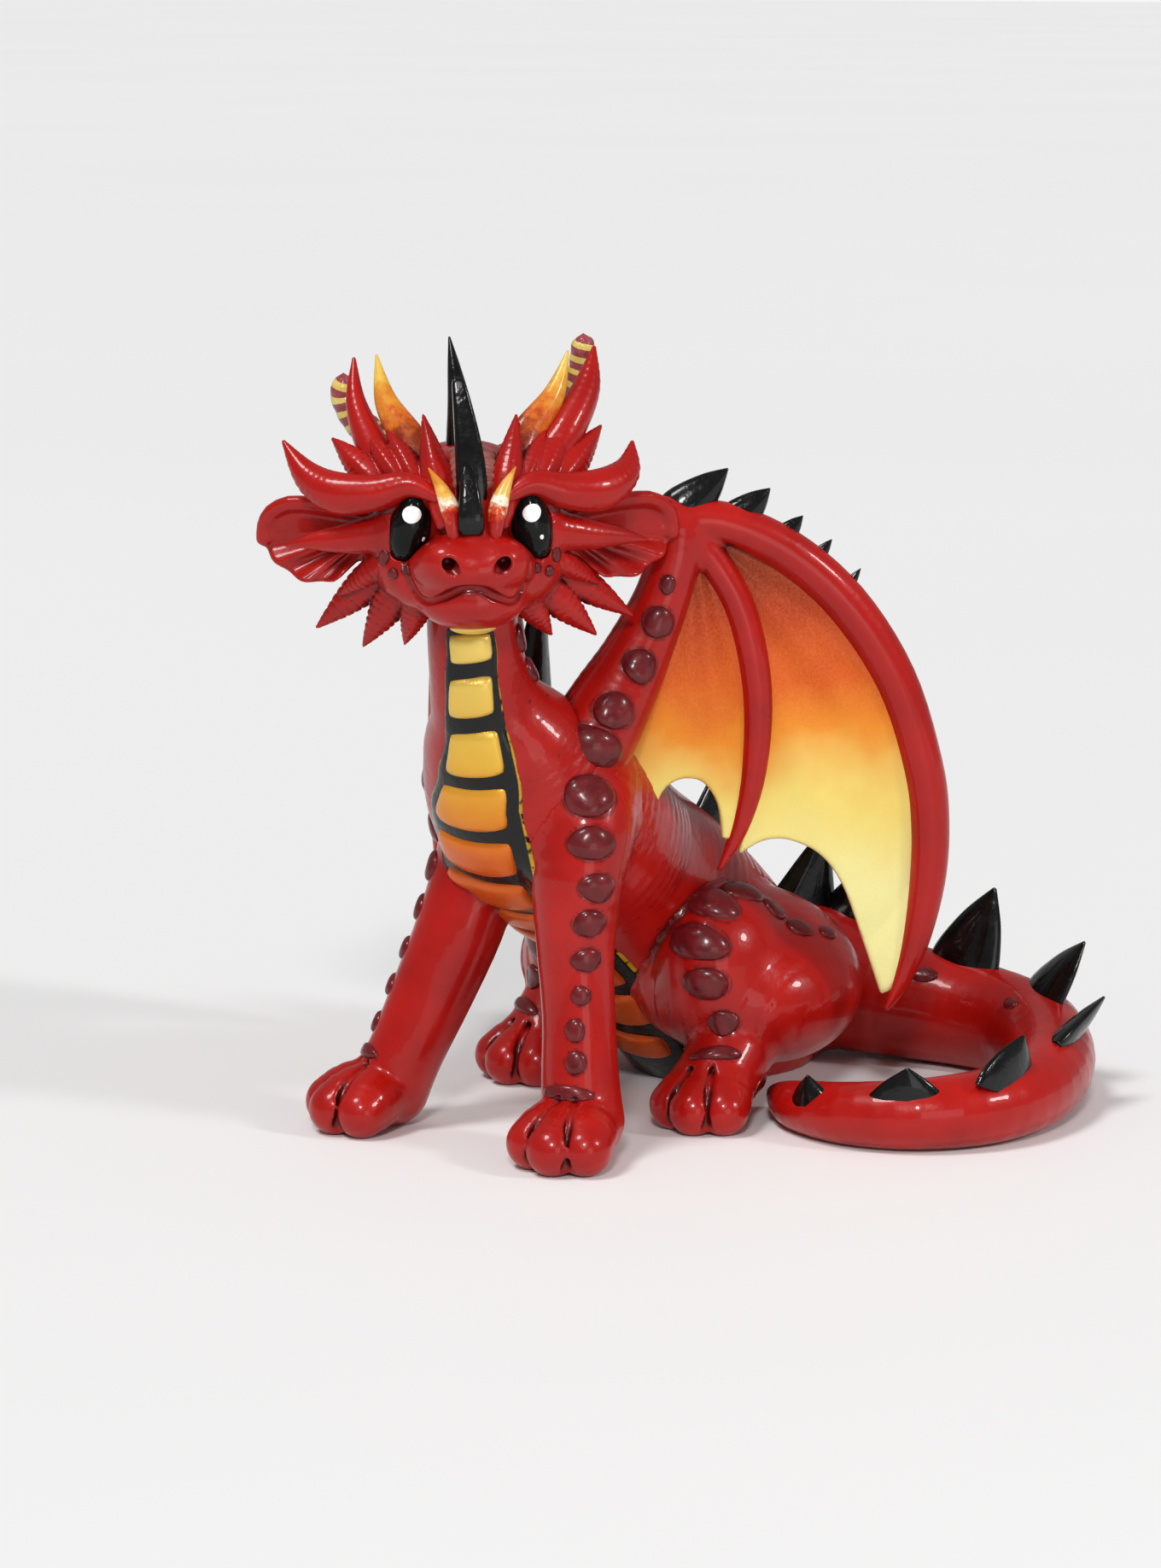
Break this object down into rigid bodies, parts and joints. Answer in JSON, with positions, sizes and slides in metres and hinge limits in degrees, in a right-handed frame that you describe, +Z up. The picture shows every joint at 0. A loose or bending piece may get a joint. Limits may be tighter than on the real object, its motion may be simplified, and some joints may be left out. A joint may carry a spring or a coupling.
{
  "type": "dragon figurine",
  "caption": "Seated resin dragon figurine with spread wings, curled tail, horned and frilled head and a plated belly; rests on paws and seat.",
  "frame": {"origin": "middle of the flat seat under the pelvis, on the ground plane", "axes": "+Z up, -Y the way the body faces, +X the dragon's left"},
  "size_m": [0.0843, 0.083, 0.0867],
  "materials": {
    "red_skin": "brick red paint under clear gloss, darker wash in the creases",
    "maroon_scale": "dark maroon paint, satin, paler where it is rubbed",
    "black_band": "glossy black enamel",
    "gold_plate": "pearl gold at the neck shading to orange at the belly",
    "orange_plate": "orange paint, satin",
    "black_spike": "glossy black enamel",
    "eye_black": "wet gloss black dome",
    "eye_white": "white painted catchlight under gloss",
    "flame_horn": "yellow tip streaked through orange to a brown red base",
    "brow_flame": "white and yellow shading to red at the lower end",
    "striped_horn": "dusty maroon bands with pale yellow bands between them",
    "wing_membrane": "burnt orange at the top shading to pearl gold at the lower edge, fine sparkle",
    "crown_pink": "dusty pink brown, satin"
  },
  "bodies": {
    "root": {"torso": "red_skin", "foreleg_left": "red_skin", "foreleg_right": "red_skin", "hind_leg_left": "red_skin", "hind_leg_right": "red_skin", "tail": "red_skin", "head": "red_skin", "belly_band": "black_band", "belly_plates": "gold_plate", "neck_scales": "maroon_scale", "foreleg_scales_left": "maroon_scale", "foreleg_scales_right": "maroon_scale", "hind_scales_left": "maroon_scale", "hind_scales_right": "maroon_scale", "tail_scales": "maroon_scale", "back_spikes": "black_spike", "tail_spikes": "black_spike", "chin_plate": "orange_plate", "eye_left": "eye_black", "eye_right": "eye_black", "catchlight_left": "eye_white", "catchlight_right": "eye_white", "brow_horn_left": "red_skin", "brow_horn_right": "red_skin", "crest_left": "red_skin", "crest_right": "red_skin", "red_horn_left": "red_skin", "red_horn_right": "red_skin", "flame_horn_left": "flame_horn", "flame_horn_right": "flame_horn", "striped_horn_left": "striped_horn", "striped_horn_right": "striped_horn", "brow_flame_left": "brow_flame", "brow_flame_right": "brow_flame", "ear_left": "red_skin", "ear_right": "red_skin", "ear_spine_left": "red_skin", "ear_spine_right": "red_skin", "cheek_frill_left": "red_skin", "cheek_frill_right": "red_skin", "head_spikes": "black_spike", "crown_patch": "crown_pink", "cheek_scales_left": "maroon_scale", "cheek_scales_right": "maroon_scale", "wing_frame_left": "red_skin", "wing_frame_right": "red_skin", "inner_membrane_left": "wing_membrane", "inner_membrane_right": "wing_membrane", "outer_membrane_left": "wing_membrane", "outer_membrane_right": "wing_membrane", "wing_scales_left": "maroon_scale", "wing_scales_right": "maroon_scale", "wing_spikes_left": "black_spike", "wing_spikes_right": "black_spike"}
  },
  "joints": []
}
